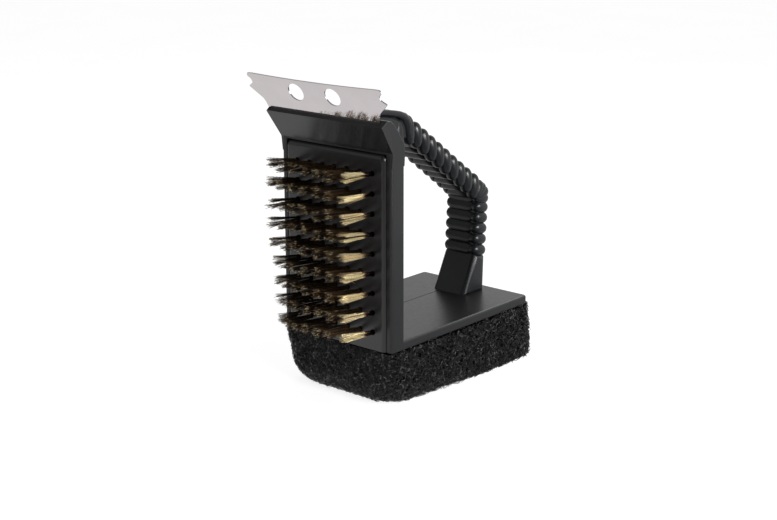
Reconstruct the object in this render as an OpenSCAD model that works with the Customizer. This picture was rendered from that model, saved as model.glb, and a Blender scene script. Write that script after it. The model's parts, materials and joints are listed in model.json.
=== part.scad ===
// Three-in-one grill cleaning brush: L-shaped plastic body with a loop handle,
// a block of wire tufts on the upright head, a steel scraper blade in the lip
// above them, and a thick scouring pad under the base.
// Right-handed frame in millimetres. +Z is up, X runs across the brush, -Y is
// the way the wire tufts point. The origin is the middle of the pad's resting
// face, below the middle of the base.

/* [Body] */
// Width of the body across the brush
body_w = 81.5; // [78:0.5:88]
// Depth of the base from the face of the tuft block to its rear edge
base_d = 128.5; // [124:0.5:140]
// Thickness of the base plate
base_t = 5; // [4.5:0.1:6]
// Height from the underside of the base to where the lip starts
head_h = 112; // [112:0.5:118]
// Width of the flared lip at its upper end
lip_w = 86; // [83:0.5:90]
// How far the tuft block stands proud of the body
block_proud = 1.3; // [0.6:0.1:2]

/* [Tufts] */
// Length of the wire tufts in front of the block
tuft_len = 26; // [20:0.5:30]
// Distance between tufts along a row
tuft_pitch_x = 9.3; // [9:0.1:10]
// Distance between rows
tuft_pitch_z = 11.2; // [11:0.1:11.5]
// Diameter of each tuft hole
hole_d = 3; // [2.6:0.1:3.6]

/* [Scraper] */
// Width of the scraper blade over its lower points
blade_w = 101.4; // [96:0.2:106]
// Length of the blade that stands out of the lip
blade_h = 21.6; // [20:0.1:24]
// Thickness of the blade
blade_t = 0.8; // [0.6:0.1:1]
// Forward lean of the blade from the vertical, in degrees
blade_lean = 25; // [25:1:31]
// Diameter of the two holes in the blade
blade_hole_d = 10.7; // [8:0.1:12]
// Distance between the two holes
blade_hole_gap = 27; // [22:0.5:30]

/* [Handle] */
// Width of the handle
handle_w = 26.5; // [22:0.5:27]
// Number of ribs on the upright grip
upright_ribs = 5; // [4:1:5]

/* [Pad] */
// Thickness of the scouring pad and its glue layer together
pad_t = 34.8; // [28:0.1:40]

/* [Hidden] */
$fn = 48;

// Inside seat(), y is depth behind the tuft block's face and z is height above
// the base's underside.
over = 1;                 // overshoot of cuts past a face
half_w = body_w / 2;
front_y = block_proud;    // front of the body around the block
wall_y = 9;               // front of the head's rear wall
back_y = 12;              // rear face of the upright head

// Tuft block
block_w = 74;
block_h = 111;
block_gap = 0.15;         // clearance of the block in its pocket
block_edge_r = 2;
peg_x = 30;
peg_zs = [16, 92];
rows = 9;
cols = 7;
row_top = 100;            // height of the first row
hole_deep = 7;

// Screws
screw_z = 105.6;
screw_x = tuft_pitch_x / 2;
base_screw_x = 6.2;
base_screw_y = 112;
base_screw_seat = 2.6;    // height of the counterbore's floor
clear_d = 3.4;            // holes the screws pass through
pilot_d = 3;              // holes the screws bite into

// Scraper blade
lip_exit = [-6.7, head_h + 17.6];  // depth and height where the blade leaves the lip
blade_off = -1.2;         // the blade sits a little to one side
hole_off = -2.3;          // and so does its pair of holes
hole_up = 12.9;           // height of those holes up the blade
tang_half_w = 38;
tang_deep = 12.8;
stud_r = 2.9;
stud_hole_r = 3;
blade_gap = 0.02;         // clearance on each face of the blade

// Glue and pad
glue_t = 0.6;
pad_side = 0.7;           // overhang at each side of the body
pad_front = 0.2;
pad_rear = 5.2;           // overhang behind the base
pad_corner_r = 9;
pad_edge_r = 11;          // lower front edge

// Moves the seat frame over the middle of the resting face
module seat() translate([0, -base_d / 2, pad_t]) children();

// Extrusion of a side profile drawn as [depth, height], centred on x
module side(width)
  translate([-width / 2, 0, 0]) rotate([90, 0, 90]) linear_extrude(width) children();

// Plan outline with separate front and rear corner radii
module plan(half_x, front, rear, front_r, rear_r) {
  lap = 0.01;
  for (s = [-1, 1]) {
    translate([s * (half_x - front_r), front + front_r]) circle(front_r);
    translate([s * (half_x - rear_r), rear - rear_r]) circle(rear_r);
  }
  translate([-half_x, front + front_r]) square([2 * half_x, rear - front - front_r - rear_r]);
  translate([-half_x + front_r, front]) square([2 * (half_x - front_r), front_r + lap]);
  translate([-half_x + rear_r, rear - rear_r - lap])
    square([2 * (half_x - rear_r), rear_r + lap]);
}

// Places children in the blade's own plane: x across, y up the blade, z forward
module on_blade()
  translate([0, lip_exit[0], lip_exit[1]]) rotate([90 + blade_lean, 0, 0]) children();

module stud_places() for (x = [-24, 0, 24]) translate([x, -7.5]) children();

// The next three start children at depth y, or height z for the base screws.
// Pegs and top screws have their own z axis turned to the rear.
module peg_places(y)
  for (x = [-peg_x, peg_x], z = peg_zs) translate([x, y, z]) rotate([-90, 0, 0]) children();

module top_screw_places(y)
  for (s = [-1, 1]) translate([s * screw_x, y, screw_z]) rotate([-90, 0, 0]) children();

module base_screw_places(z)
  for (s = [-1, 1]) translate([s * base_screw_x, base_screw_y, z]) children();

// Places of the tufts in one row, counted from 0 at the top, at depth y
module row_places(row, y)
  for (i = [0 : cols - 1])
    translate([(i - (cols - 1) / 2) * tuft_pitch_x, y, row_top - row * tuft_pitch_z])
      children();

// Points on the rear of the lip that the handle's neck shares: [depth, height]
lip_rear_low = [back_y, head_h + 2];
lip_rear_mid = [10.9, head_h + 4.8];
lip_rear_high = [5.2, head_h + 11.9];

// Side profile of the lip: [depth, height]
lip_profile = [
  [front_y, head_h - 6], [front_y + 0.2, head_h], [-8.9, head_h + 15.9],
  [-4.5, head_h + 19], [-1.6, head_h + 18.4], [1.2, head_h + 16.6],
  lip_rear_high, lip_rear_mid, lip_rear_low, [back_y, head_h - 6]];

// Outline that bounds the lip from the front: [x, height]
lip_outline = [
  [-half_w, head_h - 8], [half_w, head_h - 8], [half_w, head_h],
  [lip_w / 2, head_h + 15], [lip_w / 2, head_h + 22],
  [-lip_w / 2, head_h + 22], [-lip_w / 2, head_h + 15], [-half_w, head_h]];

// Slot for the blade's tang, leaving the locking studs standing
module tang_slot() on_blade() difference() {
  half_x = tang_half_w + 2;
  deep = tang_deep + 0.2;
  translate([blade_off - half_x, -deep, -blade_t / 2]) cube([2 * half_x, deep + 3, blade_t]);
  translate([blade_off, 0, -2]) linear_extrude(4) stud_places() circle(stud_r);
}

module frame() color([0.16, 0.16, 0.17]) seat() difference() {
  union() {
    // base plate
    linear_extrude(base_t) plan(half_w, front_y, base_d, 1.5, 1.8);
    // upright head
    linear_extrude(head_h - 1) plan(half_w, front_y, back_y, 1.5, 1.5);
    // lip that flares forward and outward
    intersection() {
      side(lip_w + 2) polygon(lip_profile);
      rotate([90, 0, 0]) translate([0, 0, -30]) linear_extrude(60) polygon(lip_outline);
    }
  }
  // pocket for the tuft block, open to the front and below
  translate([-block_w / 2 - block_gap, -20, -over])
    cube([block_w + 2 * block_gap, 20 + wall_y, block_h + block_gap + over]);
  // blind sockets for the block's pegs
  peg_places(wall_y - 0.5) cylinder(d = 4.2, h = 2.3);
  // screw holes into the top of the handle
  top_screw_places(wall_y - over) cylinder(d = clear_d, h = 6);
  // counterbored screw holes into the foot of the handle
  base_screw_places(-over) {
    cylinder(d = clear_d, h = base_t + 2 * over);
    cylinder(d = 7, h = base_screw_seat + over);
  }
  tang_slot();
  // parting line along the top of the base
  translate([-6.7, back_y + 1, base_t - 0.25]) cube([0.4, 92, 1]);
}

// Neck against the back of the head and lip: [depth, height]
neck_profile = [
  [back_y, 91], lip_rear_low, lip_rear_mid, lip_rear_high,
  [1.9, head_h + 15.78], [4, 129.6], [24, 129.4], [42, 126.6], [47, 123.4],
  [49.6, 118], [51.5, 107], [46, 107.5], [35, 109.6], [25.5, 104]];

// Core of the sloping grip and of the upright grip: [depth, height]
core_profile = [
  [44, 113], [44, 122], [46, 123.6], [113, 75.6], [122.6, 66], [123.4, 57],
  [121.8, 27], [115, 27], [116.4, 57], [115.2, 65], [46, 114.8]];

// Plain foot that spreads forward onto the base: [depth, height]
foot_profile = [[101.6, base_t], [113.6, 28.6], [123, 26.4], [122.3, base_t]];

// Ribs at the ends of the sloping run: [depth, height], half depth, half height, lean
end_ribs = [
  [[52, 114], 3.4, 9, 7],          // next to the neck
  [[116.9, 68.3], 3.5, 6.3, -32],  // three that fan out around the bend
  [[120.4, 65.2], 3.3, 6.4, -72],
  [[120.5, 62.4], 6.1, 3.3, -9]];

// Full ribs of the sloping grip, front to rear
slope_leans = [8, 8, 8, 8, 8, 8, 7, 5, -1];
slope_start = 58.85;      // depth of the first
slope_pitch = 6.8;        // spacing in depth
slope = 0.72;             // fall per unit of depth
slope_ref = [75, 98.6];   // [depth, height] of a point on the slope

// Ribs of the upright grip, top to bottom: [depth, height]
upright_start = [120, 57];
upright_step = [-0.42, -6.68];

// Rounded bar along x; a positive lean, in degrees, tips its top forward
module rib(centre, half_y, half_z, lean) side(handle_w) translate(centre) rotate(lean) {
  if (half_z > half_y) {
    for (s = [-1, 1]) translate([0, s * (half_z - half_y)]) circle(half_y);
    square([2 * half_y, 2 * (half_z - half_y)], center = true);
  } else {
    for (s = [-1, 1]) translate([s * (half_y - half_z), 0]) circle(half_z);
    square([2 * (half_y - half_z), 2 * half_z], center = true);
  }
}

module handle() color([0.13, 0.13, 0.14]) seat() difference() {
  union() {
    side(handle_w) polygon(neck_profile);
    side(handle_w - 4.5) polygon(core_profile);
    for (r = end_ribs) rib(r[0], r[1], r[2], r[3]);
    // sloping ribs stand nearly upright, side by side in depth
    for (i = [0 : len(slope_leans) - 1]) {
      y = slope_start + slope_pitch * i;
      rib([y, slope_ref[1] - slope * (y - slope_ref[0])], 3.45, 7.8, slope_leans[i]);
    }
    // upright ribs lie nearly flat, one above the other
    for (i = [0 : upright_ribs - 1]) rib(upright_start + i * upright_step, 6.15, 3.5, -12.8);
    side(handle_w - 0.6) polygon(foot_profile);
  }
  top_screw_places(back_y - over) cylinder(d = pilot_d, h = 9);
  base_screw_places(base_t - over) cylinder(d = pilot_d, h = 13);
}

// Self-tapping screw along +z, seated with the underside of its head at z = 0
module screw(length, head_d, head_t) {
  recess_w = 0.9;
  difference() {
    translate([0, 0, -head_t]) cylinder(d = head_d, h = head_t);
    // cross recess, half as deep as the head
    for (a = [0, 90]) rotate([0, 0, a])
      translate([-head_d * 0.3, -recess_w / 2, -head_t - over])
        cube([head_d * 0.6, recess_w, over + head_t * 0.5]);
  }
  translate([0, 0, -0.01]) cylinder(d = 2.9, h = length);
}

module handle_screws_top() color("silver") seat()
  top_screw_places(wall_y) screw(length = 10, head_d = 5.6, head_t = 1.8);

module handle_screws_base() color("silver") seat()
  base_screw_places(base_screw_seat) screw(length = 13, head_d = 6.4, head_t = 2);

module brush_block() color([0.12, 0.12, 0.13]) seat() difference() {
  edge = block_edge_r;
  union() {
    // block with rounded upright front corners and a rounded top front edge
    intersection() {
      linear_extrude(block_h) plan(block_w / 2, 0, wall_y, edge, 0.6);
      side(block_w + 2) union() {
        translate([0, -over]) square([wall_y, block_h - edge + over]);
        translate([edge, block_h - edge - 0.2]) square([wall_y - edge, edge + 0.2]);
        translate([edge, block_h - edge]) circle(edge);
      }
    }
    peg_places(wall_y - 1) cylinder(d = 4.1, h = 2.6);
  }
  // one blind hole for each tuft
  for (row = [0 : rows - 1]) row_places(row, -over)
    rotate([-90, 0, 0]) cylinder(d = hole_d, h = hole_deep + over);
  // relief behind for the heads of the handle's upper screws
  top_screw_places(wall_y - 2.2) cylinder(d = 6.4, h = 4);
}

// Tufts: a straight root in its hole, then wires that fan out to the tip
module tuft_row(row) color([0.62, 0.5, 0.25]) seat() {
  root_len = hole_deep - 0.9;
  root_r = hole_d / 2 - 0.25;
  tip_r = 3;
  row_places(row, root_len) rotate([90, 0, 0])
    rotate_extrude($fn = 32) polygon([
      [0, 0], [root_r, 0], [root_r, root_len],
      [tip_r, root_len + tuft_len], [0, root_len + tuft_len]]);
}

// Flat wire staples at the bottom of the holes, one for each tuft
module anchor_row(row) color("lightgray") seat()
  row_places(row, hole_deep - 0.45) cube([hole_d - 0.1, 0.5, 1.4], center = true);

// Right half of the blade from the tang up, as [x, distance up the blade], for
// a half width and a height; the top edge dips toward the middle
function blade_half(half, top) = [
  [tang_half_w, -tang_deep], [tang_half_w, 0],
  [half - 9.5, 0], [half - 9, 2.2], [half - 8, 5.6],
  [half, 12.7], [half - 0.2, 13.2], [half - 2.9, 14.9], [half - 3.7, 16.1],
  [half - 3.1, 18], [half - 2.6, 18.5], [half - 1.5, 19.4], [half - 1.3, 20.2],
  [half - 2, 21], [half - 3.2, top - 0.1],
  for (k = [8 : -1 : 1]) [(half - 6) * k / 8, top - 0.9 * (1 - pow(k / 8, 2))]];

module blade_outline() difference() {
  right = blade_half(blade_w / 2, blade_h);
  left = [for (i = [len(right) - 1 : -1 : 0]) [-right[i][0], right[i][1]]];
  polygon(concat(right, left));
  stud_places() circle(stud_hole_r);
  for (s = [-1, 1]) translate([s * blade_hole_gap / 2 + hole_off - blade_off, hole_up])
    circle(d = blade_hole_d, $fn = 64);
}

module scraper_blade() color([0.78, 0.77, 0.77]) seat()
  on_blade() translate([blade_off, 0, -blade_t / 2 + blade_gap])
    linear_extrude(blade_t - 2 * blade_gap) blade_outline();

module scouring_pad() color([0.06, 0.06, 0.06]) seat() intersection() {
  edge = pad_edge_r;
  translate([0, 0, -pad_t]) linear_extrude(pad_t - glue_t)
    plan(half_w + pad_side, pad_front, base_d + pad_rear, pad_corner_r, pad_corner_r);
  // side profile that rounds the lower front edge
  side(body_w + 10) union() {
    translate([pad_front, -pad_t + edge]) square([base_d + 6, pad_t]);
    translate([pad_front + edge, -pad_t]) square([base_d + 6, edge + 1]);
    translate([pad_front + edge, -pad_t + edge]) circle(edge);
  }
}

module pad_adhesive() color([0.75, 0.72, 0.6]) seat()
  translate([0, 0, -glue_t]) linear_extrude(glue_t) plan(half_w - 2.5, 11, base_d - 3, 2, 5);

// Rows are numbered from the top
module tuft_row_1() tuft_row(0);
module tuft_row_2() tuft_row(1);
module tuft_row_3() tuft_row(2);
module tuft_row_4() tuft_row(3);
module tuft_row_5() tuft_row(4);
module tuft_row_6() tuft_row(5);
module tuft_row_7() tuft_row(6);
module tuft_row_8() tuft_row(7);
module tuft_row_9() tuft_row(8);
module anchor_row_1() anchor_row(0);
module anchor_row_2() anchor_row(1);
module anchor_row_3() anchor_row(2);
module anchor_row_4() anchor_row(3);
module anchor_row_5() anchor_row(4);
module anchor_row_6() anchor_row(5);
module anchor_row_7() anchor_row(6);
module anchor_row_8() anchor_row(7);
module anchor_row_9() anchor_row(8);

frame();
handle();
handle_screws_top();
handle_screws_base();
brush_block();
scraper_blade();
scouring_pad();
pad_adhesive();
tuft_row_1();
tuft_row_2();
tuft_row_3();
tuft_row_4();
tuft_row_5();
tuft_row_6();
tuft_row_7();
tuft_row_8();
tuft_row_9();
anchor_row_1();
anchor_row_2();
anchor_row_3();
anchor_row_4();
anchor_row_5();
anchor_row_6();
anchor_row_7();
anchor_row_8();
anchor_row_9();
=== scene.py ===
import json
import math

import bmesh
import bpy
import numpy as np
from mathutils import Matrix, Vector

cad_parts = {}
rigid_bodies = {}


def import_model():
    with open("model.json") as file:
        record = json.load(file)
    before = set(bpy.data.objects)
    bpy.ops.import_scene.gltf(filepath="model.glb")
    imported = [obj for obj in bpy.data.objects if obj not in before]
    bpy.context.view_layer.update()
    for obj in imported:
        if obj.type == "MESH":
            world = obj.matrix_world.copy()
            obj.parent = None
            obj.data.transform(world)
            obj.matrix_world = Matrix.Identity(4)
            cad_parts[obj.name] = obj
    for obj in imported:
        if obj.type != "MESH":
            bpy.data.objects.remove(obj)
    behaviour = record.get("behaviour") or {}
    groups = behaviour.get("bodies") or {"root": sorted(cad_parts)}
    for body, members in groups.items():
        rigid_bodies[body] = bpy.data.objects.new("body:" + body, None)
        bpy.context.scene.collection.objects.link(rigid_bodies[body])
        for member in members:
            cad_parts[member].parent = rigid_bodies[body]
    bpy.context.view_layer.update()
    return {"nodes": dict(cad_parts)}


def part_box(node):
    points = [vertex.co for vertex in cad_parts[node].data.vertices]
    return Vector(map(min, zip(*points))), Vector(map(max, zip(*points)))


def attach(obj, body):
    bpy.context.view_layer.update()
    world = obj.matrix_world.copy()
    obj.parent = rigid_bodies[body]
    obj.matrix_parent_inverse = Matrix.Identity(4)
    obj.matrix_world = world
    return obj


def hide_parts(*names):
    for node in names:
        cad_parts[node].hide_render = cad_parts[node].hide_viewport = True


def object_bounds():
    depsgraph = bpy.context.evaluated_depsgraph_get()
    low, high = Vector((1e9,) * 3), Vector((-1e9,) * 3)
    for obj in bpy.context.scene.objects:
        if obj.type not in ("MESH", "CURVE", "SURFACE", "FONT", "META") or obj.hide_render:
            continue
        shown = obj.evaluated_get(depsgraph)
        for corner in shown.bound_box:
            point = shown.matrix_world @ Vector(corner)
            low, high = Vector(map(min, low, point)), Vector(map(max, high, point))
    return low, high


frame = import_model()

scene = bpy.context.scene
rng = np.random.default_rng(20261116)

# Local working frame, in millimetres: x across, y back from the tuft block's face, z up from the base's underside.
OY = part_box("brush_block")[0].y * 1000
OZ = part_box("frame")[0].z * 1000
PAD_LO, PAD_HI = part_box("scouring_pad")
BASE_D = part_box("frame")[1].y * 1000 - OY
HW = 40.75                      # half width of the body
HEAD_H = 112.0
LEAN = math.radians(25)
LIP_Y, LIP_Z = -6.7, HEAD_H + 17.6
BLADE_OFF, HOLE_OFF = -1.2, -2.3


def to_row(p):
    """Local millimetres to row-frame metres."""
    q = np.array(p, float).reshape(-1, 3).copy()
    q[:, 1] += OY
    q[:, 2] += OZ
    return q / 1000.0


# ---------------------------------------------------------------- mesh helpers
def mesh_from_arrays(name, verts_mm, faces):
    """faces: (n, k) array of one polygon size, or a list of them."""
    groups = faces if isinstance(faces, list) else [faces]
    co = to_row(verts_mm).astype(np.float32)
    me = bpy.data.meshes.new(name)
    me.vertices.add(len(co))
    me.vertices.foreach_set("co", co.ravel())
    loops = np.concatenate([np.asarray(g, np.int32).ravel() for g in groups])
    sizes = np.concatenate([np.full(len(g), np.asarray(g).shape[1], np.int32) for g in groups])
    starts = np.concatenate([[0], np.cumsum(sizes)[:-1]]).astype(np.int32)
    me.loops.add(len(loops))
    me.loops.foreach_set("vertex_index", loops)
    me.polygons.add(len(sizes))
    me.polygons.foreach_set("loop_start", starts)
    me.polygons.foreach_set("loop_total", sizes)
    me.update(calc_edges=True)
    me.validate()
    return me


def add_object(name, me, smooth=True):
    ob = bpy.data.objects.new(name, me)
    scene.collection.objects.link(ob)
    if smooth:
        me.polygons.foreach_set("use_smooth", np.ones(len(me.polygons), bool))
    return ob


def bake(ob):
    """Applies every modifier of ob to its mesh."""
    bpy.context.view_layer.update()
    dg = bpy.context.evaluated_depsgraph_get()
    me = bpy.data.meshes.new_from_object(ob.evaluated_get(dg), preserve_all_data_layers=True, depsgraph=dg)
    old = ob.data
    ob.modifiers.clear()
    ob.data = me
    me.name = old.name
    bpy.data.meshes.remove(old)
    return ob


def boolean(ob, other, op):
    m = ob.modifiers.new("b", "BOOLEAN")
    m.object = other
    m.operation = op
    m.solver = "EXACT"
    bake(ob)
    bpy.data.objects.remove(other)
    return ob


def sharp_by_angle(ob, degrees=35):
    """Smooth shading that keeps edges above the angle crisp."""
    me = ob.data
    bm = bmesh.new()
    bm.from_mesh(me)
    lim = math.radians(degrees)
    for f in bm.faces:
        f.smooth = True
    for e in bm.edges:
        e.smooth = not (len(e.link_faces) == 2 and e.calc_face_angle(0.0) > lim)
    bm.to_mesh(me)
    bm.free()
    return ob


def even_normals(ob, degrees=32):
    """Flat faces keep their own normals while rounded edges shade smoothly."""
    sharp_by_angle(ob, degrees)
    m = ob.modifiers.new("n", "WEIGHTED_NORMAL")
    m.mode = "FACE_AREA"
    m.weight = 100
    m.keep_sharp = True
    return bake(ob)


def clean(ob, dist=0.00001):
    bm = bmesh.new()
    bm.from_mesh(ob.data)
    bmesh.ops.remove_doubles(bm, verts=bm.verts, dist=dist)
    bmesh.ops.dissolve_degenerate(bm, dist=dist, edges=bm.edges)
    bmesh.ops.recalc_face_normals(bm, faces=bm.faces)
    bm.to_mesh(ob.data)
    bm.free()
    return ob


def arc(cy, cz, r, a0, a1, n):
    t = np.radians(np.linspace(a0, a1, n))
    return [(cy + r * math.cos(a), cz + r * math.sin(a)) for a in t]


def prism(name, pts, lo, hi, axis="x", taper=None, bevels=()):
    """Polygon pulled between lo and hi along an axis. axis x: pts are (y, z); axis z: pts are (x, y).
    bevels: list of (test(edge midpoint, edge direction) -> bool, width, segments) in local millimetres."""
    bm = bmesh.new()
    rings = []
    for k, end in enumerate((lo, hi)):
        ring = []
        for a, b in pts:
            if axis == "x":
                x = end if taper is None else math.copysign(taper(a, b), end)
                p = (x, a, b)
            elif axis == "z":
                p = (a, b, end)
            else:
                p = (a, end, b)
            ring.append(bm.verts.new(p))
        rings.append(ring)
    n = len(pts)
    bm.faces.new(rings[0])
    bm.faces.new(rings[1])
    for i in range(n):
        j = (i + 1) % n
        bm.faces.new((rings[0][i], rings[0][j], rings[1][j], rings[1][i]))
    bmesh.ops.recalc_face_normals(bm, faces=bm.faces)
    for test, width, seg in bevels:
        chosen = []
        for e in bm.edges:
            if len(e.link_faces) != 2 or e.calc_face_angle(0.0) < math.radians(28):
                continue
            mid = (e.verts[0].co + e.verts[1].co) / 2
            d = (e.verts[1].co - e.verts[0].co).normalized()
            if test(mid, d):
                chosen.append(e)
        if chosen:
            bmesh.ops.bevel(bm, geom=chosen, offset=width, offset_type="OFFSET", segments=seg, profile=0.5,
                            affect="EDGES", clamp_overlap=True)
    for v in bm.verts:
        v.co = Vector(((v.co.x) / 1000, (v.co.y + OY) / 1000, (v.co.z + OZ) / 1000))
    me = bpy.data.meshes.new(name)
    bm.to_mesh(me)
    bm.free()
    return add_object(name, me)


def tubes(paths, radius, sides, refs):
    """Tubes along paths (n, k, 3) in millimetres; radius (n, k). Returns verts and [quads, caps]."""
    n, k, _ = paths.shape
    tan = np.gradient(paths, axis=1)
    tan /= np.linalg.norm(tan, axis=2, keepdims=True) + 1e-9
    ref = refs[:, None, :]
    n1 = np.cross(tan, ref)
    n1 /= np.linalg.norm(n1, axis=2, keepdims=True) + 1e-9
    n2 = np.cross(tan, n1)
    a = np.arange(sides) * 2 * math.pi / sides
    ring = (n1[:, :, None, :] * np.cos(a)[None, None, :, None] + n2[:, :, None, :] * np.sin(a)[None, None, :, None])
    v = paths[:, :, None, :] + ring * radius[:, :, None, None]
    idx = np.arange(n * k * sides).reshape(n, k, sides)
    nxt = np.roll(idx, -1, axis=2)
    quads = np.stack([idx[:, :-1], nxt[:, :-1], nxt[:, 1:], idx[:, 1:]], axis=-1).reshape(-1, 4)
    start = idx[:, 0, ::-1].reshape(-1, sides)
    end = idx[:, -1, :].reshape(-1, sides)
    return v.reshape(-1, 3), [quads, np.concatenate([start, end])]


def point_attribute(me, name, values):
    at = me.attributes.new(name, "FLOAT", "POINT")
    at.data.foreach_set("value", np.asarray(values, np.float32))


# ---------------------------------------------------------------- materials
def material(name):
    m = bpy.data.materials.new(name)
    m.use_nodes = True
    nt = m.node_tree
    nt.nodes.clear()
    out = nt.nodes.new("ShaderNodeOutputMaterial")
    bsdf = nt.nodes.new("ShaderNodeBsdfPrincipled")
    nt.links.new(bsdf.outputs[0], out.inputs[0])
    return m, nt, bsdf


def node(nt, kind, **values):
    n = nt.nodes.new(kind)
    for key, value in values.items():
        if key in n.inputs.keys():
            n.inputs[key].default_value = value
        else:
            setattr(n, key, value)
    return n


def coords(nt, scale=(1, 1, 1)):
    tc = node(nt, "ShaderNodeTexCoord")
    mp = node(nt, "ShaderNodeMapping")
    mp.inputs["Scale"].default_value = scale
    nt.links.new(tc.outputs["Object"], mp.inputs[0])
    return mp.outputs[0]


def ramp(nt, source, stops):
    r = node(nt, "ShaderNodeValToRGB")
    cr = r.color_ramp
    while len(cr.elements) < len(stops):
        cr.elements.new(0.5)
    for e, (pos, col) in zip(cr.elements, stops):
        e.position = pos
        e.color = (*col, 1) if len(col) == 3 else col
    nt.links.new(source, r.inputs[0])
    return r.outputs[0]


def plastic(name, base, lift, rough=0.42, spec=0.42, grain=1.0, swirl=(1, 1, 1)):
    """Moulded dark plastic: fine spark-eroded grain, soft flow variation, rubbed edges and faint scratches."""
    m, nt, b = material(name)
    L = nt.links
    co = coords(nt)
    big = node(nt, "ShaderNodeTexNoise", Scale=38.0, Detail=4.0, Roughness=0.55)
    mp = coords(nt, swirl)
    L.new(mp, big.inputs["Vector"])
    fine = node(nt, "ShaderNodeTexNoise", Scale=2600.0, Detail=3.0, Roughness=0.6)
    L.new(co, fine.inputs["Vector"])
    mid = node(nt, "ShaderNodeTexNoise", Scale=420.0, Detail=3.0, Roughness=0.6)
    L.new(co, mid.inputs["Vector"])
    col = ramp(nt, big.outputs["Fac"], [(0.3, base), (0.75, lift)])
    # rubbed convex edges are a little lighter
    geo = node(nt, "ShaderNodeNewGeometry")
    edge = ramp(nt, geo.outputs["Pointiness"], [(0.515, (0, 0, 0)), (0.57, (1, 1, 1))])
    mixc = node(nt, "ShaderNodeMix", data_type="RGBA")
    em = node(nt, "ShaderNodeMath", operation="MULTIPLY")
    em.inputs[1].default_value = 0.15
    L.new(edge, em.inputs[0])
    L.new(em.outputs[0], mixc.inputs["Factor"])
    L.new(col, mixc.inputs[6])
    mixc.inputs[7].default_value = (*[min(1, c * 2.4 + 0.01) for c in lift], 1)
    L.new(mixc.outputs[2], b.inputs["Base Color"])
    # roughness: flow marks, grain and long fine rubs
    rubs = node(nt, "ShaderNodeTexNoise", Scale=60.0, Detail=6.0, Roughness=0.7)
    L.new(coords(nt, (18, 1.2, 3)), rubs.inputs["Vector"])
    r1 = node(nt, "ShaderNodeMapRange")
    r1.inputs["From Min"].default_value, r1.inputs["From Max"].default_value = 0.3, 0.72
    r1.inputs["To Min"].default_value, r1.inputs["To Max"].default_value = rough - 0.02, rough + 0.035
    L.new(mid.outputs["Fac"], r1.inputs["Value"])
    r2 = node(nt, "ShaderNodeMapRange")
    r2.inputs["From Min"].default_value, r2.inputs["From Max"].default_value = 0.35, 0.7
    r2.inputs["To Min"].default_value, r2.inputs["To Max"].default_value = -0.02, 0.025
    L.new(rubs.outputs["Fac"], r2.inputs["Value"])
    add = node(nt, "ShaderNodeMath", operation="ADD")
    L.new(r1.outputs[0], add.inputs[0])
    L.new(r2.outputs[0], add.inputs[1])
    L.new(add.outputs[0], b.inputs["Roughness"])
    b.inputs["Specular IOR Level"].default_value = spec
    bump = node(nt, "ShaderNodeBump", Strength=0.16 * grain, Distance=0.00003)
    L.new(fine.outputs["Fac"], bump.inputs["Height"])
    bump2 = node(nt, "ShaderNodeBump", Strength=0.05 * grain, Distance=0.00005)
    L.new(mid.outputs["Fac"], bump2.inputs["Height"])
    L.new(bump.outputs[0], bump2.inputs["Normal"])
    L.new(bump2.outputs[0], b.inputs["Normal"])
    return m


def steel(name, tint, rough=0.2, streak=(4, 60, 60), wear=True):
    """Rolled steel sheet: fine rolling lines and cloudy smears."""
    m, nt, b = material(name)
    L = nt.links
    lines = node(nt, "ShaderNodeTexNoise", Scale=90.0, Detail=5.0, Roughness=0.75)
    L.new(coords(nt, streak), lines.inputs["Vector"])
    cloud = node(nt, "ShaderNodeTexNoise", Scale=55.0, Detail=4.0, Roughness=0.6)
    L.new(coords(nt), cloud.inputs["Vector"])
    dark = tuple(c * 0.93 for c in tint)
    col = ramp(nt, cloud.outputs["Fac"], [(0.3, dark), (0.7, tint)])
    L.new(col, b.inputs["Base Color"])
    b.inputs["Metallic"].default_value = 1.0
    r = node(nt, "ShaderNodeMapRange")
    r.inputs["From Min"].default_value, r.inputs["From Max"].default_value = 0.3, 0.7
    r.inputs["To Min"].default_value, r.inputs["To Max"].default_value = rough - 0.05, rough + 0.08
    L.new(lines.outputs["Fac"], r.inputs["Value"])
    L.new(r.outputs[0], b.inputs["Roughness"])
    b.inputs["Anisotropic"].default_value = 0.35
    bump = node(nt, "ShaderNodeBump", Strength=0.06, Distance=0.00005)
    L.new(lines.outputs["Fac"], bump.inputs["Height"])
    L.new(bump.outputs[0], b.inputs["Normal"])
    return m


def wire_brass():
    """Brass-plated wire: colour changes from wire to wire and along it, with heat-browned patches; the per-point value
    also carries painted shade and painted glints.
    """
    m, nt, b = material("wire_brass")
    L = nt.links
    at = node(nt, "ShaderNodeAttribute", attribute_name="tone_and_painted_light")
    nz = node(nt, "ShaderNodeTexNoise", Scale=700.0, Detail=3.0)
    L.new(coords(nt), nz.inputs["Vector"])
    mix = node(nt, "ShaderNodeMath", operation="ADD")
    sc = node(nt, "ShaderNodeMath", operation="MULTIPLY_ADD")
    sc.inputs[1].default_value, sc.inputs[2].default_value = 0.35, -0.17
    L.new(nz.outputs["Fac"], sc.inputs[0])
    L.new(at.outputs["Fac"], mix.inputs[0])
    L.new(sc.outputs[0], mix.inputs[1])
    col = ramp(nt, mix.outputs[0], [(0.0, (0.010, 0.006, 0.004)), (0.32, (0.14, 0.085, 0.045)),
                                    (0.6, (0.38, 0.305, 0.155)), (1.0, (0.56, 0.50, 0.33))])
    L.new(col, b.inputs["Base Color"])
    b.inputs["Metallic"].default_value = 1.0
    r = node(nt, "ShaderNodeMapRange")
    r.inputs["To Min"].default_value, r.inputs["To Max"].default_value = 0.24, 0.5
    L.new(nz.outputs["Fac"], r.inputs["Value"])
    L.new(r.outputs[0], b.inputs["Roughness"])
    bump = node(nt, "ShaderNodeBump", Strength=0.1, Distance=0.00003)
    L.new(nz.outputs["Fac"], bump.inputs["Height"])
    L.new(bump.outputs[0], b.inputs["Normal"])
    return m


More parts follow.
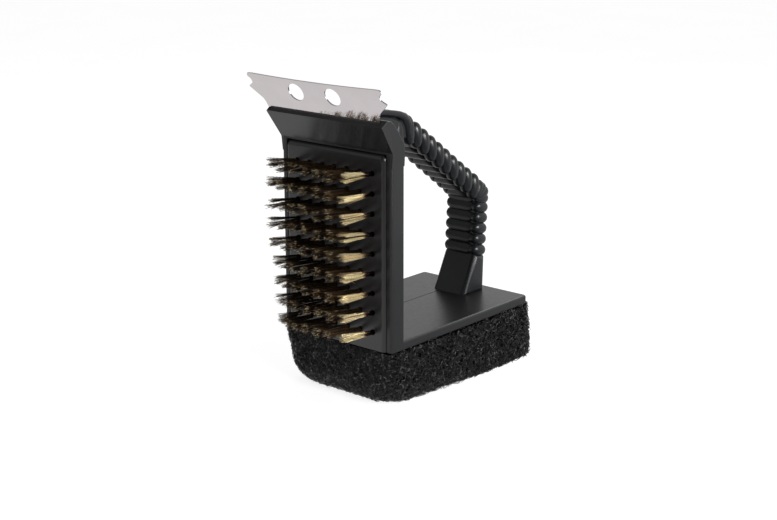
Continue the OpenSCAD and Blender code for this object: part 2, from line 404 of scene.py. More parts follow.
def pad_black(name, base, shine, rough):
    """Abrasive fibre: black resin-coated strands with small grit that catches the light."""
    m, nt, b = material(name)
    L = nt.links
    nz = node(nt, "ShaderNodeTexNoise", Scale=900.0, Detail=4.0, Roughness=0.65)
    L.new(coords(nt), nz.inputs["Vector"])
    grit = node(nt, "ShaderNodeTexVoronoi", Scale=1500.0)
    L.new(coords(nt), grit.inputs["Vector"])
    col = ramp(nt, nz.outputs["Fac"], [(0.35, tuple(c * 0.5 for c in base)), (0.75, base)])
    L.new(col, b.inputs["Base Color"])
    g = ramp(nt, grit.outputs["Distance"], [(0.05, (1, 1, 1)), (0.3, (0, 0, 0))])
    r = node(nt, "ShaderNodeMapRange")
    r.inputs["To Min"].default_value, r.inputs["To Max"].default_value = rough, rough - 0.28
    L.new(g, r.inputs["Value"])
    L.new(r.outputs[0], b.inputs["Roughness"])
    b.inputs["Specular IOR Level"].default_value = shine
    bump = node(nt, "ShaderNodeBump", Strength=0.7, Distance=0.0003)
    L.new(nz.outputs["Fac"], bump.inputs["Height"])
    bump2 = node(nt, "ShaderNodeBump", Strength=0.5, Distance=0.0002)
    L.new(grit.outputs["Distance"], bump2.inputs["Height"])
    L.new(bump.outputs[0], bump2.inputs["Normal"])
    L.new(bump2.outputs[0], b.inputs["Normal"])
    return m


def strand_mat():
    """Resin-coated strands of the pad: near black, with short pale flecks painted into the colour as painted glints."""
    m, nt, b = material("pad_strand")
    L = nt.links
    at = node(nt, "ShaderNodeAttribute", attribute_name="tone_and_painted_light")
    nz = node(nt, "ShaderNodeTexNoise", Scale=560.0, Detail=1.5, Roughness=0.5)
    L.new(coords(nt), nz.inputs["Vector"])
    # painted glints: pale spots painted into the base colour of some strands
    painted_glint = node(nt, "ShaderNodeMath", operation="MULTIPLY")
    L.new(ramp(nt, nz.outputs["Fac"], [(0.50, (0, 0, 0)), (0.60, (1, 1, 1))]), painted_glint.inputs[0])
    L.new(ramp(nt, at.outputs["Fac"], [(0.35, (0.05, 0.05, 0.05)), (1.0, (1, 1, 1))]), painted_glint.inputs[1])
    L.new(ramp(nt, painted_glint.outputs[0], [(0.0, (0.0042, 0.0042, 0.0050)), (0.3, (0.035, 0.035, 0.040)), (1.0, (0.33, 0.33, 0.35))]), b.inputs["Base Color"])
    fine = node(nt, "ShaderNodeTexNoise", Scale=2600.0, Detail=3.0)
    L.new(coords(nt), fine.inputs["Vector"])
    r = node(nt, "ShaderNodeMapRange")
    r.inputs["To Min"].default_value, r.inputs["To Max"].default_value = 0.28, 0.55
    L.new(fine.outputs["Fac"], r.inputs["Value"])
    L.new(r.outputs[0], b.inputs["Roughness"])
    b.inputs["Specular IOR Level"].default_value = 0.55
    bump = node(nt, "ShaderNodeBump", Strength=0.6, Distance=0.0001)
    L.new(fine.outputs["Fac"], bump.inputs["Height"])
    L.new(bump.outputs[0], b.inputs["Normal"])
    return m


def glue_mat():
    m, nt, b = material("cured_glue")
    L = nt.links
    nz = node(nt, "ShaderNodeTexNoise", Scale=300.0, Detail=4.0)
    L.new(coords(nt), nz.inputs["Vector"])
    col = ramp(nt, nz.outputs["Fac"], [(0.35, (0.42, 0.36, 0.2)), (0.7, (0.62, 0.56, 0.38))])
    L.new(col, b.inputs["Base Color"])
    b.inputs["Roughness"].default_value = 0.3
    b.inputs["Transmission Weight"].default_value = 0.15
    bump = node(nt, "ShaderNodeBump", Strength=0.5, Distance=0.0003)
    L.new(nz.outputs["Fac"], bump.inputs["Height"])
    L.new(bump.outputs[0], b.inputs["Normal"])
    return m


BODY = plastic("body_plastic", (0.0075, 0.0078, 0.0086), (0.0105, 0.0108, 0.012), rough=0.33, spec=0.36)
GRIP = plastic("grip_plastic", (0.0045, 0.0050, 0.0058), (0.0068, 0.0073, 0.0083), rough=0.33, spec=0.31, grain=0.3)
BLOCK = plastic("block_plastic", (0.007, 0.007, 0.0078), (0.012, 0.012, 0.013), rough=0.34, spec=0.58)
BLADE = steel("blade_steel", (0.54, 0.505, 0.511), rough=0.04, streak=(3, 55, 55))
SCREW = steel("screw_zinc", (0.62, 0.63, 0.66), rough=0.28, streak=(20, 20, 20))
ANCHOR = steel("anchor_wire", (0.5, 0.49, 0.47), rough=0.35, streak=(30, 8, 30))
BRASS = wire_brass()
PAD = pad_black("pad_felt", (0.0015, 0.0015, 0.0018), 0.05, 0.9)
FIBRE = strand_mat()
GLUE = glue_mat()


def finish_piece(ob, mat, slot, *nodes):
    ob.data.materials.clear()
    ob.data.materials.append(mat)
    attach(ob, "root")
    if nodes:
        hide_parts(*nodes)
    return ob


for name, ob in frame["nodes"].items():
    mat = SCREW if "screws" in name else ANCHOR if "anchor" in name else GLUE if "adhesive" in name else None
    if mat is not None:
        ob.data.materials.clear()
        ob.data.materials.append(mat)

# ---------------------------------------------------------------- body
plan = (arc(HW - 1.6, 2.9, 1.6, -90, 0, 7) + arc(HW - 2.4, BASE_D - 2.4, 2.4, 0, 90, 9)
        + arc(-HW + 2.4, BASE_D - 2.4, 2.4, 90, 180, 9) + arc(-HW + 1.6, 2.9, 1.6, 180, 270, 7))
base = prism("body_shell", plan, 0.0, 5.0, axis="z",
             bevels=[(lambda m, d: m.z > 4.9 and abs(d.z) < 0.1, 1.3, 5),
                     (lambda m, d: m.z < 0.1 and abs(d.z) < 0.1, 0.12, 2)])
head_plan = (arc(HW - 1.6, 2.9, 1.6, -90, 0, 7) + arc(HW - 1.0, 11.0, 1.0, 0, 90, 5)
             + arc(-HW + 1.0, 11.0, 1.0, 90, 180, 5) + arc(-HW + 1.6, 2.9, 1.6, 180, 270, 7))
head = prism("head", head_plan, 0.35, HEAD_H + 0.6, axis="z")
lip_pts = [(1.7, HEAD_H - 8), (1.5, HEAD_H - 0.6), (1.2, HEAD_H + 0.6), (-8.9, HEAD_H + 15.9), (-4.6, HEAD_H + 19.0), (-1.7, HEAD_H + 18.5),
           (1.2, HEAD_H + 16.6), (5.2, HEAD_H + 11.9), (9.0, HEAD_H + 7.3), (10.9, HEAD_H + 4.6), (11.75, HEAD_H + 2.0),
           (12.0, HEAD_H - 1.0), (12.0, HEAD_H - 8)]
lip = prism("lip", lip_pts, -1, 1, axis="x", taper=lambda y, z: HW + max(0.0, (z - HEAD_H + 8)) * 0.085,
            bevels=[(lambda m, d: abs(m.x) > 5 and m.z > HEAD_H - 3 and m.z > HEAD_H + 3.6 - 1.515 * (m.y - 1.2), 0.95, 4),
                    (lambda m, d: abs(d.x) > 0.9 and m.z > HEAD_H + 1, 0.5, 3),
                    (lambda m, d: abs(m.x) > 5 and m.z > HEAD_H + 1 and m.z < HEAD_H + 3.0 - 1.515 * (m.y - 1.2), 0.4, 3)])
boolean(base, head, "UNION")
boolean(base, lip, "UNION")
pocket = prism("pocket", [(-37.2, -2), (37.2, -2), (37.2, 111.3), (-37.2, 111.3)], -8.0, 9.0, axis="y")
boolean(base, pocket, "DIFFERENCE")
groove = prism("groove", [(-6.85, 12.3), (-6.35, 12.3), (-6.35, 104.5), (-6.85, 104.5)], 4.65, 6.0, axis="z")
boolean(base, groove, "DIFFERENCE")


def blade_point(x, v, n=0.0):
    """Point x across, v up the blade, n in front of its middle plane, in local millimetres."""
    return (x, LIP_Y - math.sin(LEAN) * v - math.cos(LEAN) * n, LIP_Z + math.cos(LEAN) * v - math.sin(LEAN) * n)


def slab(name, x0, x1, v0, v1, n0, n1):
    co = [blade_point(x, v, n) for x in (x0, x1) for v in (v0, v1) for n in (n0, n1)]
    faces = np.array([[0, 1, 3, 2], [4, 6, 7, 5], [0, 4, 5, 1], [2, 3, 7, 6], [0, 2, 6, 4], [1, 5, 7, 3]])
    return add_object(name, mesh_from_arrays(name, co, faces))


slot_cut = slab("slot_cut", -39.4, 37.0, -13.2, 6.0, -0.42, 0.42)
clean(slot_cut)
boolean(base, slot_cut, "DIFFERENCE")
clean(base)
even_normals(base, 32)
finish_piece(base, BODY, "body_plastic", "frame")

# ---------------------------------------------------------------- tuft block
block = prism("tuft_block", [(-37, 0), (37, 0), (37, 111), (-37, 111)], 0.0, 8.95, axis="y",
              bevels=[(lambda m, d: abs(d.y) > 0.9 and m.z > 100, 3.6, 6),
                      (lambda m, d: m.y < 0.05 and m.z > 0.2, 2.9, 7),
                      (lambda m, d: m.y < 0.2 and m.z < 0.2 and abs(d.x) > 0.5, 0.8, 3)])
COLS, ROWS = 7, 9
TX = [(i - 3) * 9.3 for i in range(COLS)]
TZ = [100 - j * 11.2 for j in range(ROWS)]
cv, cf = [], []
SEG = 20
for x in TX:
    for z in TZ:
        s = len(cv)
        for y, rr in ((-1.0, 1.9), (0.0, 1.75), (0.35, 1.5), (7.0, 1.5)):
            for q in range(SEG):
                a = q * 2 * math.pi / SEG
                cv.append((x + rr * math.cos(a), y, z + rr * math.sin(a)))
        for lvl in range(3):
            for q in range(SEG):
                a, b = s + lvl * SEG + q, s + lvl * SEG + (q + 1) % SEG
                cf.append((a, b, b + SEG, a + SEG))
        cf.append(tuple(s + q for q in range(SEG))[::-1])
        cf.append(tuple(s + 3 * SEG + q for q in range(SEG)))
me = bpy.data.meshes.new("holes")
me.from_pydata([tuple(p) for p in to_row(cv)], [], cf)
holes = add_object("holes", me)
clean(holes, 1e-7)
boolean(block, holes, "DIFFERENCE")
clean(block, 1e-6)
even_normals(block, 32)
finish_piece(block, BLOCK, "block_plastic", "brush_block")

# ---------------------------------------------------------------- scraper blade
A, H, T = 50.7, 21.6, 0.76


def half_outline():
    p = [(38, -12.8), (38, 0), (A - 9.5, 0), (A - 9.15, 2.2), (A - 8.6, 4.4), (A - 7.6, 6.0),
         (A - 0.45, 12.2), (A - 0.1, 12.7), (A - 0.35, 13.2), (A - 2.7, 14.6), (A - 3.5, 15.4), (A - 3.8, 16.4),
         (A - 3.6, 17.4), (A - 2.9, 18.2), (A - 1.9, 19.0), (A - 1.4, 19.8), (A - 1.5, 20.7),
         (A - 2.2, 21.4), (A - 3.3, H - 0.05)]
    p += [((A - 6) * k / 8, H - 0.9 * (1 - (k / 8) ** 2)) for k in range(8, 0, -1)]
    return p


right = half_outline()
outline = right + [(-x, v) for x, v in reversed(right)]
loops = [outline]
for sx in (-1, 1):
    cx = sx * 13.5 + HOLE_OFF - BLADE_OFF
    loops.append([(cx + 5.35 * math.cos(t), 12.9 + 5.35 * math.sin(t)) for t in np.linspace(0, 2 * math.pi, 64, endpoint=False)])
for cx in (-24, 0, 24):
    loops.append([(cx + 3 * math.cos(t), -7.5 + 3 * math.sin(t)) for t in np.linspace(0, 2 * math.pi, 32, endpoint=False)])


def eased(pts, d):
    """Loop moved d inside the metal, for the slightly broken punched edge."""
    p = np.array(pts, float)
    e0, e1 = p - np.roll(p, 1, axis=0), np.roll(p, -1, axis=0) - p
    e0 /= np.linalg.norm(e0, axis=1, keepdims=True)
    e1 /= np.linalg.norm(e1, axis=1, keepdims=True)
    area2 = float((p[:, 0] * np.roll(p[:, 1], -1) - np.roll(p[:, 0], -1) * p[:, 1]).sum())
    hole = pts is not outline
    k = (1 if area2 > 0 else -1) * (-1 if hole else 1)
    m = np.stack([-(e0 + e1)[:, 1], (e0 + e1)[:, 0]], -1) * k
    m /= np.linalg.norm(m, axis=1, keepdims=True)
    return p + m * d


bm = bmesh.new()
caps = {-1: [], 1: []}
for pts in loops:
    rings = []
    for n, inner in ((-T / 2, True), (-T / 2 + 0.07, False), (T / 2 - 0.07, False), (T / 2, True)):
        ring_pts = eased(pts, 0.07) if inner else np.array(pts)
        rings.append([bm.verts.new((x, v, n)) for x, v in ring_pts])
    for a_, b_ in zip(rings[:-1], rings[1:]):
        for i in range(len(pts)):
            j = (i + 1) % len(pts)
            bm.faces.new((a_[i], a_[j], b_[j], b_[i]))
    caps[-1].append(rings[0])
    caps[1].append(rings[3])
for sgn, rs in caps.items():
    edges = [bm.edges.get((r[i], r[(i + 1) % len(r)])) for r in rs for i in range(len(r))]
    bmesh.ops.triangle_fill(bm, use_beauty=True, use_dissolve=False, edges=edges)
bmesh.ops.recalc_face_normals(bm, faces=bm.faces)
for v in bm.verts:
    x, vv, n = v.co
    v.co = Vector(to_row([blade_point(x + BLADE_OFF, vv, n)])[0])
me = bpy.data.meshes.new("scraper_sheet")
bm.to_mesh(me)
bm.free()
blade = add_object("scraper_sheet", me)
sharp_by_angle(blade, 12)
finish_piece(blade, BLADE, "blade_steel", "scraper_blade")


# ---------------------------------------------------------------- handle
def super_rib(cx, cy, cz, a, b, c, angle, e_round=0.9, e_box=0.38, nu=20, nv=56, e_long=None):
    """A rib as a super-ellipsoid: a across, b along its long side axis (angle above +Y), c along its pitch."""
    def sp(t, e):
        return np.sign(t) * np.abs(t) ** e
    u = np.linspace(-math.pi / 2, math.pi / 2, nu + 1)[1:-1]
    w = np.linspace(-math.pi, math.pi, nv, endpoint=False)
    U, W = np.meshgrid(u, w, indexing="ij")
    X = a * sp(np.cos(U), e_round) * sp(np.cos(W), e_box)
    B = b * sp(np.cos(U), e_round if e_long is None else e_long) * sp(np.sin(W), e_box)
    P = c * sp(np.sin(U), 1.0)
    ca, sa = math.cos(math.radians(angle)), math.sin(math.radians(angle))
    pts = np.stack([cx + X, cy + B * ca - P * sa, cz + B * sa + P * ca], -1)
    poles = [(cx, cy + c * sa, cz - c * ca), (cx, cy - c * sa, cz + c * ca)]
    nu2 = len(u)
    v = list(map(tuple, pts.reshape(-1, 3))) + poles
    f = []
    for i in range(nu2 - 1):
        for j in range(nv):
            j2 = (j + 1) % nv
            f.append((i * nv + j, i * nv + j2, (i + 1) * nv + j2, (i + 1) * nv + j))
    s0, s1 = len(v) - 2, len(v) - 1
    for j in range(nv):
        j2 = (j + 1) % nv
        f.append((s0, j2, j))
        f.append((s1, (nu2 - 1) * nv + j, (nu2 - 1) * nv + j2))
    return v, f


solids = []


def join_in(v, f):
    """Notes a closed solid of the handle; all of them are united below."""
    solids.append((v, f))


def prism_data(pts, hw, shrink=0.0, bev=0.0):
    """Side profile pulled to +-hw with a bevelled rim; returns verts and faces in local millimetres."""
    bm = bmesh.new()
    lo = [bm.verts.new((-hw, a, b)) for a, b in pts]
    hi = [bm.verts.new((hw, a, b)) for a, b in pts]
    bm.faces.new(lo)
    bm.faces.new(hi)
    n = len(pts)
    for i in range(n):
        j = (i + 1) % n
        bm.faces.new((lo[i], lo[j], hi[j], hi[i]))
    bmesh.ops.recalc_face_normals(bm, faces=bm.faces)
    if bev > 0:
        ed = [e for e in bm.edges if abs((e.verts[1].co - e.verts[0].co).normalized().x) < 0.5]
        bmesh.ops.bevel(bm, geom=ed, offset=bev, offset_type="OFFSET", segments=4, profile=0.5, affect="EDGES", clamp_overlap=True)
    bm.verts.index_update()
    v = [tuple(x.co) for x in bm.verts]
    f = [tuple(x.index for x in face.verts) for face in bm.faces]
    bm.free()
    return v, f


SLOPE, UY = 0.72, 119.0
HWID = 13.2


def rib(y, z, half, pitch, angle, soft=0.84, over=1.0, e_long=0.6, wide=4.2, flat=False):
    """One moulded rib: a flat-faced web across the grip and a bulging bead at each end of it."""
    if flat:
        join_in(*super_rib(-0.85, y, z, HWID - 2.55, half * 0.965, pitch + 0.5, angle, 0.6, 0.2, 16, 72, 0.26))
    else:
        join_in(*super_rib(-1.65, y, z, HWID - 2.55, half * 0.97, pitch + over * 0.9, angle, 0.84, 0.3, 20, 64, e_long * 0.8))
    for sx in (-1, 1):
        join_in(*super_rib(sx * (HWID - wide), y, z, wide, half * (1 if sx > 0 else 0.97), pitch + over, angle, 0.84, soft, 22, 44, e_long))


# neck behind the lip: a cushioned side panel inside an L-shaped roll that turns down into the first rib
join_in(*prism_data([(12.0, 91), (12.0, HEAD_H + 2), (10.9, HEAD_H + 4.8), (5.2, HEAD_H + 11.9), (3.0, HEAD_H + 14.6),
                     (24.3, 127.0), (28.3, 126.4), (38.8, 124.3), (43.6, 121.5), (45.6, 116.8), (46.0, 107.0), (35, 107.0), (25.5, 102.5), (18.0, 96.5)],
                    HWID - 2.0, bev=1.6))
for sx in (-1, 1):
    join_in(*super_rib(sx * (HWID - 3.4), 42.2, 111.2, 3.4, 10.8, 4.3, 93, 0.84, 0.84, 24, 56, 0.5))
    join_in(*super_rib(sx * (HWID - 3.2), 25.0, 111.0, 3.0, 15.0, 21.0, 84, 0.5, 0.66, 24, 56))
join_in(*prism_data([(2.0, 127.6), (3.6, 129.6), (24, 129.4), (28.3, 129.0), (38.5, 127.2), (44.7, 125.9), (48.6, 124.6), (51.6, 122.3), (53.4, 119.2), (53.8, 113),
                     (49.0, 110.5), (47.7, 117.0), (44.6, 121.7), (39.0, 124.2), (28.5, 126.2), (24, 127.0)],
                    HWID - 1.6, bev=1.1))
roll = np.array([(3.6, 128.1, 1.4), (14, 128.1, 1.45), (24, 128.0, 1.5), (28.4, 127.6, 1.55), (33.6, 126.7, 1.65), (38.7, 125.6, 1.8),
                 (43.2, 124.3, 2.05), (46.9, 122.3, 2.6), (49.6, 119.4, 3.1), (51.1, 115.8, 3.4), (51.8, 112.0, 3.5), (52.3, 109.0, 3.2), (52.6, 106.2, 2.0)])
for sx in (-1, 1):
    tt = np.linspace(0, len(roll) - 1, 60)
    yy, zz, rr = (np.interp(tt, np.arange(len(roll)), roll[:, c]) for c in range(3))
    for arr in (yy, zz, rr):
        arr[1:-1] = np.convolve(arr, [0.25, 0.5, 0.25], "same")[1:-1]
    v, f = tubes(np.stack([sx * (HWID - rr), yy, zz], -1)[None], rr[None], 20, np.array([[1.0, 0.0, 0.0]]))
    join_in([tuple(p) for p in v], [tuple(q) for g in f for q in g])
# slim cores that only show at the bottom of the grooves
join_in(*prism_data([(40, 108), (40, 122.0), (46, 122.0), (53, 119.0), (UY + 1.0, 69.4), (UY + 3.6, 65.0), (UY + 2.8, 27.0), (UY - 4.6, 27.0), (UY - 3.4, 63.8), (52, 110.2)],
                    HWID - 2.1, bev=1.7))
rib(52.0, 114.0, 9.0, 3.0, 97)
for k in range(9):
    y = 58.85 + 6.8 * k
    rib(y, 98.6 - SLOPE * (y - 75), 7.9, 3.0, 98 - (0, 0, 0, 0, 0, 0, 1, 3, 9)[k])
rib(116.9, 68.3, 6.3, 3.35, 58)
rib(118.6, 67.0, 6.3, 3.1, 38, over=0.6, wide=3.6)
rib(120.4, 65.2, 6.4, 3.1, 18, over=0.6, wide=3.6)
rib(120.5, 62.4, 6.1, 3.1, -9, over=0.5, e_long=0.7, wide=3.6, flat=True)
for y, z in ((120.0, 57.0), (119.6, 50.5), (119.1, 43.9), (118.7, 37.2), (118.3, 30.3)):
    rib(y, z, 6.15, 3.3, -12.8, soft=0.76, over=0.5, e_long=0.75, wide=3.8, flat=True)
# plain foot with broad rounded front edges
join_in(*prism_data([(101.4, 4.0), (113.6, 28.6), (123.0, 26.4), (122.3, 4.0)], HWID - 0.3, bev=4.0))

def solid_object(name, v, f):
    bm = bmesh.new()
    vs = [bm.verts.new(p) for p in to_row(v)]
    for face in f:
        bm.faces.new([vs[i] for i in face])
    bmesh.ops.recalc_face_normals(bm, faces=bm.faces)
    bmesh.ops.triangulate(bm, faces=bm.faces)
    me = bpy.data.meshes.new(name)
    bm.to_mesh(me)
    bm.free()
    return add_object(name, me)


handle = solid_object("loop_handle", *solids[0])
others = [solid_object(f"part_{i}", v, f) for i, (v, f) in enumerate(solids[1:])]
for ob in others:
    m = handle.modifiers.new("u", "BOOLEAN")
    m.object = ob
    m.operation = "UNION"
    m.solver = "MANIFOLD"
bake(handle)
for ob in others:
    bpy.data.objects.remove(ob)
clean(handle, 2e-6)
even_normals(handle, 30)
finish_piece(handle, GRIP, "grip_plastic", "handle")

# ---------------------------------------------------------------- wire tufts
PER = 30           # wires in each half tuft
LEN = 26.0


def tuft_wires(x, z, row, col):
    """Paths of one tuft's wires: two folded halves that fan out towards the tips, with a per-point value that holds
    colour tone plus painted shade and painted tip glints.
    """
    out, tone_and_painted_light = [], []
    worn = max(0.0, (row - 3) / 5.0) * max(0.0, (2.2 - col) / 2.2)
    tilt_x = rng.normal(0, 0.018) + 0.16 * worn
    tilt_z = 0.085 + rng.normal(0, 0.02) - (0.02 if row == 0 else 0.0)
    for s in (1, -1):
        lx, lz = rng.normal(0, 0.012), rng.normal(0, 0.012)
        ph0, d0 = rng.random() * 6.28, math.pi / 2 + rng.normal(0, 0.25)
        for w in range(PER):
            length = (LEN - (3.2, 1.6, 0.6, 0.2, 0, 0, 1.3)[col] - (0.8 if row == 0 else 0.0)) * (1 - 0.15 * worn) + rng.normal(-0.6, 0.75)
            stray = rng.random() < 0.03
            end = col == COLS - 1
            rx, rz = rng.normal(0, 0.45), s * (0.62 if end else 0.45) + rng.normal(0, 0.22 if end else 0.3)
            k = math.hypot(rx, rz)
            if k > 1.1:
                rx, rz = rx / k * 1.1, rz / k * 1.1
            fx = np.clip(rng.normal(0, 1.6), -3.0, 3.0) * (1.5 if stray else 1)
            fz = (s * 1.3 + np.clip(rng.normal(0, 0.5), -0.95, 0.95) * (2.0 if stray else 1) if end
                  else s * 1.5 + np.clip(rng.normal(0, 0.7), -1.35, 1.35) * (2.0 if stray else 1))
            tipx = x + fx + (tilt_x + lx) * length
            tipz = z + fz + (tilt_z + lz) * length
            npts = 40
            t = np.linspace(0, 1, npts)
            y0 = 5.6
            yy = y0 + (-length - y0) * t
            f = np.clip(-yy / length, 0, 1)
            bow = rng.normal(0, 0.35)
            px = x + rx + (tipx - x - rx) * f ** 0.9 + bow * f * (1 - f) * 2
            pz = z + rz + (tipz - z - rz) * f ** 0.9 + rng.normal(0, 0.3) * f * (1 - f) * 2
            ph, lam, amp = ph0 + rng.normal(0, 0.5), rng.normal(2.15, 0.03), abs(rng.normal(0.2, 0.03))
            d = d0 + rng.normal(0, 0.35)
            env = np.clip(-yy / 3.0, 0, 1)
            c = amp * np.sin(2 * math.pi * yy / lam + ph) * env
            px = px + c * math.cos(d)
            pz = pz + c * math.sin(d)
            out.append(np.stack([px, yy, pz], -1))
            shade = np.clip(rng.normal(0.62, 0.2), 0.05, 1.0)
            if end:
                # painted shadow: the end column's wires are painted dark for their first 6 to 9 mm, where the body
                # shades them
                tone_and_painted_light.append(shade * np.clip((-yy - 6.0) / 3.0, 0.0, 1.0))
            else:
                # painted shade on the inner columns' wire bodies, with a painted glint at the tips of about a quarter
                # of the wires
                painted_tip_glint = 1.0 if shade > 0.72 else 0.34
                tone_and_painted_light.append(shade * 0.40 + (painted_tip_glint - shade * 0.40) * np.clip((-yy - length + 2.2) / 1.6, 0.0, 1.0))
    return out, tone_and_painted_light


def wire_piece(name, paths, tones_and_painted_light, row):
    P = np.array(paths)
    n, k, _ = P.shape
    refs = rng.normal(size=(n, 3))
    refs[:, 1] *= 0.1
    refs /= np.linalg.norm(refs, axis=1, keepdims=True)
    v, f = tubes(P, np.full((n, k), 0.12), 4, refs)
    me = mesh_from_arrays(name, v, f)
    point_attribute(me, "tone_and_painted_light", np.repeat(np.array(tones_and_painted_light).ravel(), 4))
    ob = add_object(name, me)
    finish_piece(ob, BRASS, "tuft_wire", f"tuft_row_{row}")


for j, z in enumerate(TZ):
    paths, tones_and_painted_light = [], []
    for i, x in enumerate(TX):
        p, t = tuft_wires(x, z, j, i)
        if i == COLS - 1:
            wire_piece(f"wires_end_{j + 1}", p, t, j + 1)
        else:
            paths += p
            tones_and_painted_light += t
    # a few loose wires that stick out of the field
    extra = {2: [((27.9, 0, z + 0.6), (26.4, -24.5, z + 3.4))],
             3: [((-27.9, 0, z), (-27.0, -23.5, z - 1.2))],
             6: [((27.0, -13.0, z + 8.2), (29.5, -24.0, z + 13.6))]}.get(j, [])
    for a, b in extra:
        t = np.linspace(0, 1, 40)[:, None]
        p = np.array(a) + (np.array(b) - np.array(a)) * t
        p[:, 2] += 0.5 * np.sin(t[:, 0] * 3.1)
        paths.append(p)
        tones_and_painted_light.append(np.full(40, 0.95))
    wire_piece(f"wires_row_{j + 1}", paths, tones_and_painted_light, j + 1)

# ---------------------------------------------------------------- scouring pad
ZB = (PAD_LO.z * 1000) - OZ            # resting face
ZT = (PAD_HI.z * 1000) - OZ            # top, under the base
PH = ZT - ZB


def rounded_rect(hx, y0, y1, rf, rr, n):
    """Closed outline from the middle of the rear edge round by the right side, n points evenly spaced along it."""
    pts = []
    pts += [(0.0, y1)]
    pts += [(hx - rr + rr * math.sin(a), y1 - rr + rr * math.cos(a)) for a in np.linspace(0, math.pi / 2, 24)]
    pts += [(hx - rf + rf * math.cos(a), y0 + rf - rf * math.sin(a)) for a in np.linspace(0, math.pi / 2, 32)]
    left = [(-x, y) for x, y in reversed(pts[1:])]
    pts += left
    # points spaced evenly along the outline
    p = np.array(pts + [pts[0]])
    # slightly bowed sides
    seg = np.linalg.norm(np.diff(p, axis=0), axis=1)
    s = np.concatenate([[0], np.cumsum(seg)])
    t = np.linspace(0, s[-1], n, endpoint=False)
    return np.stack([np.interp(t, s, p[:, 0]), np.interp(t, s, p[:, 1])], -1)


def outward(p):
    d = np.roll(p, -1, axis=0) - np.roll(p, 1, axis=0)
    nrm = np.stack([-d[:, 1], d[:, 0]], -1)
    nrm /= np.linalg.norm(nrm, axis=1, keepdims=True)
    c = p.mean(0)
    if ((p - c) * nrm).sum() < 0:
        nrm = -nrm
    return nrm


def pad_ring(h, n, inset=0.0):
    """Pad outline at height h above the resting face."""
    depth = 1 - h / PH                      # 0 at the top, 1 at the bottom
    rf = 4.0 + 18.0 * depth ** 0.8
    rr = 6.0 + 4.0 * depth
    bulge = 0.45 + 0.7 * math.sin(math.pi * min(1.0, max(0.0, depth))) + 0.25 * depth
    rear = 3.0 + 6.0 * depth ** 1.1
    p = rounded_rect(HW + 0.2 + bulge, 0.6 - 0.4 * bulge, BASE_D + rear, rf, rr, n)
    nrm = outward(p)
    ny, nx = nrm[:, 1], nrm[:, 0]
    side_r = np.clip(15.0 - 0.135 * p[:, 1], 3.0, 15.0)
    R = np.where(ny < 0, ny ** 2 * 15.0, ny ** 2 * 11.0) + nx ** 2 * side_r
    q = np.clip(R - h, 0, None)
    ins = R - np.sqrt(np.clip(R * R - q * q, 0, None))
    ins = np.minimum(ins, R)
    return p - nrm * (ins + inset)[:, None], nrm


NP = 560
levels = []
for h in np.concatenate([[0.0, 0.12, 0.4, 0.85, 1.4, 2.1], np.linspace(2.9, PH - 0.5, 40), [PH]]):
    ring, nrm = pad_ring(h, NP)
    levels.append((ring, nrm, h))
verts, normals = [], []
for ring, nrm, h in levels:
    verts.append(np.column_stack([ring, np.full(NP, ZB + h)]))
    normals.append(np.column_stack([nrm, np.zeros(NP)]))
NL = len(levels)
side = np.array(verts)                       # (levels, NP, 3)
# true normals from the lofted surface
du = np.roll(side, -1, axis=1) - np.roll(side, 1, axis=1)
dv = np.gradient(side, axis=0)
nn = np.cross(dv, du)
nn /= np.linalg.norm(nn, axis=2, keepdims=True) + 1e-9
flip = np.sign((nn * np.array(normals)).sum(-1).mean())
nn *= flip


def value_noise(p, cell, seed):
    """Smooth 3-D value noise in [-1, 1] at points p (n, 3)."""
    q = p / cell
    i = np.floor(q).astype(np.int64)
    f = q - i
    f = f * f * (3 - 2 * f)
    out = np.zeros(len(p))
    for dx in (0, 1):
        for dy in (0, 1):
            for dz in (0, 1):
                hsh = ((i[:, 0] + dx) * 73856093) ^ ((i[:, 1] + dy) * 19349663) ^ ((i[:, 2] + dz) * 83492791) ^ (seed * 2654435761)
                hsh = (hsh ^ (hsh >> 13)) * 1274126177
                r = ((hsh ^ (hsh >> 16)) & 0xFFFF) / 32767.5 - 1
                w = (f[:, 0] if dx else 1 - f[:, 0]) * (f[:, 1] if dy else 1 - f[:, 1]) * (f[:, 2] if dz else 1 - f[:, 2])
                out += r * w
    return out


def ragged(p):
    return 0.55 * value_noise(p, 6.5, 3) + 0.5 * value_noise(p, 2.3, 5) + 0.42 * value_noise(p, 1.1, 9)


flat = side.reshape(-1, 3)
fn = nn.reshape(-1, 3)
lift = ragged(flat)
hfac = np.clip((flat[:, 2] - ZB) / 1.5, 0, 1) * np.clip((ZT - flat[:, 2]) / 1.0, 0, 1)
shell = flat + fn * ((lift - 1.7) * hfac)[:, None]
shell[:, 2] = np.clip(shell[:, 2], ZB, ZT)
body_v = shell.reshape(NL, NP, 3)
rings = [body_v[k] for k in range(NL)]
# bottom and top caps shrink to the middle
cap_n = 34
c0 = np.array([0.0, BASE_D / 2, ZB])
bottom = []
for k in range(1, cap_n):
    s = 1 - k / cap_n
    r = c0 + (rings[0] - c0) * np.array([s, s, 1])
    r[:, 2] = ZB + 0.12 * (1 + value_noise(r + 50, 1.7, 11)) * min(1, k / 2)
    bottom.append(r)
top = []
c1 = np.array([0.0, BASE_D / 2, ZT])
for k in range(1, 6):
    s = 1 - k / 6
    top.append(c1 + (rings[-1] - c1) * np.array([s, s, 1]))
allr = bottom[::-1] + rings + top
V = np.concatenate(allr + [c0[None] + [0, 0, 0.1], c1[None]])
nr = len(allr)
idx = np.arange(nr * NP).reshape(nr, NP)
nxt = np.roll(idx, -1, axis=1)
quads = np.stack([idx[:-1], nxt[:-1], nxt[1:], idx[1:]], -1).reshape(-1, 4)
ib, it = nr * NP, nr * NP + 1
tri_b = np.stack([np.full(NP, ib), nxt[0], idx[0]], -1)
